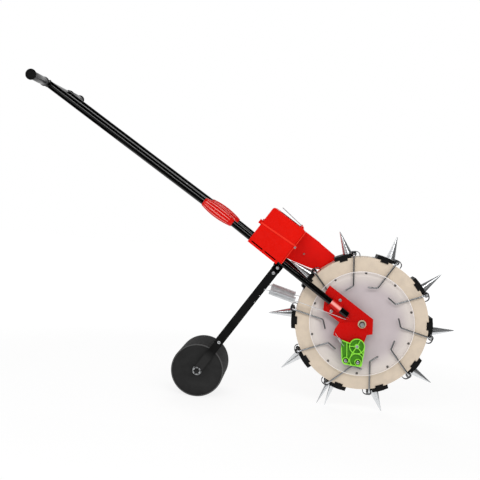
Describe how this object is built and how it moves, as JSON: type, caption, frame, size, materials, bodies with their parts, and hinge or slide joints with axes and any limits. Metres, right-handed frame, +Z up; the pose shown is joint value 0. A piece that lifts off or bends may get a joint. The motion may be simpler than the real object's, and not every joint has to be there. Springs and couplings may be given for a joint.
{
  "type": "walk-behind seed planter",
  "caption": "Walk-behind seed planter: a drum of hinged sowing beaks with wire levers, a hopper and chute, a telescoping handle and a sprung press roller.",
  "frame": {"origin": "on the soil under the middle of the bounding box", "axes": "+X forward, the way it is pushed; +Y to the far side of the picture; +Z up"},
  "size_m": [1.3022, 0.494, 0.9214],
  "materials": {
    "red_plastic": "gloss",
    "dark_red_plastic": "gloss",
    "red_paint": "gloss",
    "black_paint": "gloss",
    "cream_plastic": "satin",
    "pale_plastic": "satin",
    "lime_plastic": "gloss",
    "black_plastic": "satin",
    "zinc_steel": "satin",
    "nylon": "satin",
    "rubber": "matt",
    "clear_plastic": "clear"
  },
  "bodies": {
    "frame": {"bracket_near": "red_paint", "bracket_far": "red_paint", "sector_plate": "red_paint", "tube_saddle_near": "red_paint", "tube_saddle_far": "red_paint", "saddle_bolts": "zinc_steel", "lower_tube_near": "black_paint", "lower_tube_far": "black_paint", "axle_rod": "zinc_steel", "axle_nuts": "zinc_steel", "axle_washers": "zinc_steel", "axle_spacers": "zinc_steel", "hopper_lower_shell": "red_plastic", "hopper_upper_shell": "red_plastic", "seed_chute": "dark_red_plastic", "hopper_bolts": "zinc_steel", "tube_clip_near": "red_plastic", "tube_clip_far": "red_plastic", "lid_hinge_pin": "zinc_steel", "press_spring_near": "zinc_steel", "press_spring_far": "zinc_steel", "spring_pegs": "zinc_steel", "trip_pivot_bolt": "zinc_steel", "trip_spring": "zinc_steel", "arm_pivot_bolts": "zinc_steel"},
    "drum": {"drum_rim": "cream_plastic", "drum_face": "pale_plastic", "hub_bushes": "nylon", "face_screws": "zinc_steel", "beak_seats": "black_plastic", "seat_plates": "zinc_steel", "fixed_jaws": "zinc_steel", "beak_springs": "zinc_steel", "seed_cups": "black_plastic"},
    "handle": {"upper_tube_near": "black_paint", "upper_tube_far": "black_paint", "crossbar": "black_paint", "grip_near": "rubber", "grip_far": "rubber"},
    "lock_near": {"lock_near": "red_plastic"},
    "lock_far": {"lock_far": "red_plastic"},
    "lid": {"hopper_lid": "clear_plastic"},
    "press_arm": {"press_arm_near": "black_paint", "press_arm_far": "black_paint", "arm_bolts": "zinc_steel", "arm_spacer": "black_paint", "press_axle": "zinc_steel"},
    "press_wheel": {"press_roller": "black_plastic"},
    "trip": {"trip_plate": "lime_plastic", "trip_bolts": "zinc_steel"},
    "beak_01": {"beak_01": "zinc_steel"},
    "beak_02": {"beak_02": "zinc_steel"},
    "beak_03": {"beak_03": "zinc_steel"},
    "beak_04": {"beak_04": "zinc_steel"},
    "beak_05": {"beak_05": "zinc_steel"},
    "beak_06": {"beak_06": "zinc_steel"},
    "beak_07": {"beak_07": "zinc_steel"},
    "beak_08": {"beak_08": "zinc_steel"},
    "beak_09": {"beak_09": "zinc_steel"},
    "beak_10": {"beak_10": "zinc_steel"}
  },
  "joints": [
    {"name": "drum_spin", "type": "hinge", "parent": "frame", "child": "drum", "pos_m": [0.37007, -0.025, 0.26765], "axis": [0, 1, 0], "continuous": true},
    {"name": "beak_01_open", "type": "hinge", "parent": "drum", "child": "beak_01", "pos_m": [0.32882, -0.025, 0.47356], "axis": [0, 1, 0], "range_deg": [0, 25], "stiffness_Nm_per_rad": 0.6, "springref_deg": -20.05},
    {"name": "beak_02_open", "type": "hinge", "parent": "drum", "child": "beak_02", "pos_m": [0.45773, -0.025, 0.45848], "axis": [0, 1, 0], "range_deg": [0, 25], "stiffness_Nm_per_rad": 0.6, "springref_deg": -20.05},
    {"name": "beak_03_open", "type": "hinge", "parent": "drum", "child": "beak_03", "pos_m": [0.55316, -0.025, 0.37051], "axis": [0, 1, 0], "range_deg": [0, 25], "stiffness_Nm_per_rad": 0.6, "springref_deg": -20.05},
    {"name": "beak_04_open", "type": "hinge", "parent": "drum", "child": "beak_04", "pos_m": [0.57865, -0.025, 0.24325], "axis": [0, 1, 0], "range_deg": [0, 25], "stiffness_Nm_per_rad": 0.6, "springref_deg": -20.05},
    {"name": "beak_05_open", "type": "hinge", "parent": "drum", "child": "beak_05", "pos_m": [0.52447, -0.025, 0.12531], "axis": [0, 1, 0], "range_deg": [0, 25], "stiffness_Nm_per_rad": 0.6, "springref_deg": -20.05},
    {"name": "beak_06_open", "type": "hinge", "parent": "drum", "child": "beak_06", "pos_m": [0.41132, -0.025, 0.06174], "axis": [0, 1, 0], "range_deg": [0, 25], "stiffness_Nm_per_rad": 0.6, "springref_deg": -20.05},
    {"name": "beak_07_open", "type": "hinge", "parent": "drum", "child": "beak_07", "pos_m": [0.28241, -0.025, 0.07682], "axis": [0, 1, 0], "range_deg": [-17.6, 7.4], "stiffness_Nm_per_rad": 0.6},
    {"name": "beak_08_open", "type": "hinge", "parent": "drum", "child": "beak_08", "pos_m": [0.18699, -0.025, 0.16479], "axis": [0, 1, 0], "range_deg": [0, 25], "stiffness_Nm_per_rad": 0.6, "springref_deg": -20.05},
    {"name": "beak_09_open", "type": "hinge", "parent": "drum", "child": "beak_09", "pos_m": [0.16149, -0.025, 0.29205], "axis": [0, 1, 0], "range_deg": [0, 25], "stiffness_Nm_per_rad": 0.6, "springref_deg": -20.05},
    {"name": "beak_10_open", "type": "hinge", "parent": "drum", "child": "beak_10", "pos_m": [0.21567, -0.025, 0.40999], "axis": [0, 1, 0], "range_deg": [0, 25], "stiffness_Nm_per_rad": 0.6, "springref_deg": -20.05},
    {"name": "handle_slide", "type": "slide", "parent": "frame", "child": "handle", "axis": [-0.848, 0, 0.5299], "range_m": [0, 0.13]},
    {"name": "lock_near_twist", "type": "hinge", "parent": "handle", "child": "lock_near", "pos_m": [-0.08549, -0.094, 0.56227], "axis": [-0.848, 0, 0.5299], "range_deg": [0, 90]},
    {"name": "lock_far_twist", "type": "hinge", "parent": "handle", "child": "lock_far", "pos_m": [-0.08549, 0.094, 0.56227], "axis": [-0.848, 0, 0.5299], "range_deg": [0, 90]},
    {"name": "lid_open", "type": "hinge", "parent": "frame", "child": "lid", "pos_m": [0.16685, 0, 0.5425], "axis": [0, 1, 0], "range_deg": [0, 95]},
    {"name": "press_arm_swing", "type": "hinge", "parent": "frame", "child": "press_arm", "pos_m": [0.10548, 0, 0.41196], "axis": [0, 1, 0], "range_deg": [0, 25], "stiffness_Nm_per_rad": 20, "springref_deg": -28.65, "deforming": ["press_spring_near", "press_spring_far"]},
    {"name": "press_wheel_spin", "type": "hinge", "parent": "press_arm", "child": "press_wheel", "pos_m": [-0.10993, 0, 0.0804], "axis": [0, 1, 0], "continuous": true},
    {"name": "trip_swing", "type": "hinge", "parent": "frame", "child": "trip", "pos_m": [0.36057, -0.09, 0.20145], "axis": [0, 1, 0], "range_deg": [-20, 0], "stiffness_Nm_per_rad": 1, "springref_deg": 17.19, "deforming": ["trip_spring"]}
  ]
}
